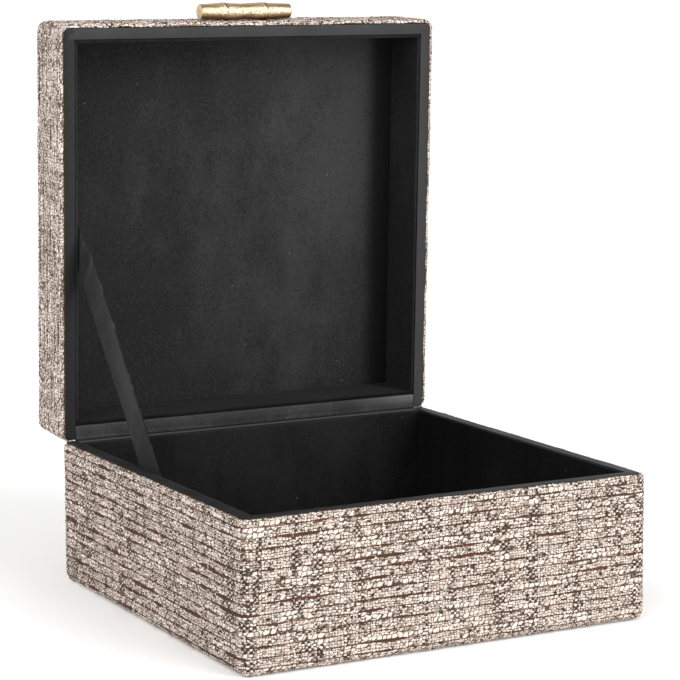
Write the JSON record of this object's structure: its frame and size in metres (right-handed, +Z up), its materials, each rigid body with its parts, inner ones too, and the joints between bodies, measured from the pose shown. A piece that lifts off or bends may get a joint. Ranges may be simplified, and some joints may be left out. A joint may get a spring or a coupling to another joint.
{
  "type": "storage box",
  "caption": "Square lidded storage box, wrapped in tweed and lined in black suede, with a cloth hinge, a ribbon lid stay and a gold bamboo-shaped bar handle.",
  "frame": {"origin": "on the floor, under the centre of the base", "axes": "+Z up, the front with the handle faces -Y, +X to the right of someone facing the front"},
  "size_m": [0.254, 0.2932, 0.3478],
  "materials": {
    "tweed": "chunky boucle tweed in cream, blush and dark brown yarns",
    "suede": "brushed black suede cloth",
    "leatherette": "smooth matt black leatherette",
    "fibreboard": "raw medium density fibreboard, hidden",
    "felt": "pressed black felt",
    "gold": "hammered gold plating",
    "steel": "zinc plated, hidden"
  },
  "bodies": {
    "base": {"base_back_board": "fibreboard", "base_back_lining": "suede", "base_bottom_board": "fibreboard", "base_cloth_wrap": "tweed", "base_floor_lining": "suede", "base_front_binding": "leatherette", "base_front_board": "fibreboard", "base_front_lining": "suede", "base_left_binding": "leatherette", "base_left_board": "fibreboard", "base_left_lining": "suede", "base_right_binding": "leatherette", "base_right_board": "fibreboard", "base_right_lining": "suede", "base_underside_pad": "felt", "hinge_cloth": "tweed", "hinge_strip": "suede", "stay_ribbon": "suede"},
    "lid": {"handle_bar": "gold", "handle_left_screw": "steel", "handle_right_screw": "steel", "lid_back_board": "fibreboard", "lid_back_lining": "suede", "lid_cloth_wrap": "tweed", "lid_front_binding": "leatherette", "lid_front_board": "fibreboard", "lid_front_lining": "suede", "lid_left_binding": "leatherette", "lid_left_board": "fibreboard", "lid_left_lining": "suede", "lid_right_binding": "leatherette", "lid_right_board": "fibreboard", "lid_right_lining": "suede", "lid_top_board": "fibreboard", "lid_top_lining": "suede"}
  },
  "joints": [
    {"name": "lid_hinge", "type": "hinge", "parent": "base", "child": "lid", "pos_m": [0, 0.1253, 0.0852], "axis": [1, 0, 0], "range_deg": [0, 87.6], "deforming": ["hinge_cloth", "hinge_strip", "stay_ribbon"]}
  ]
}
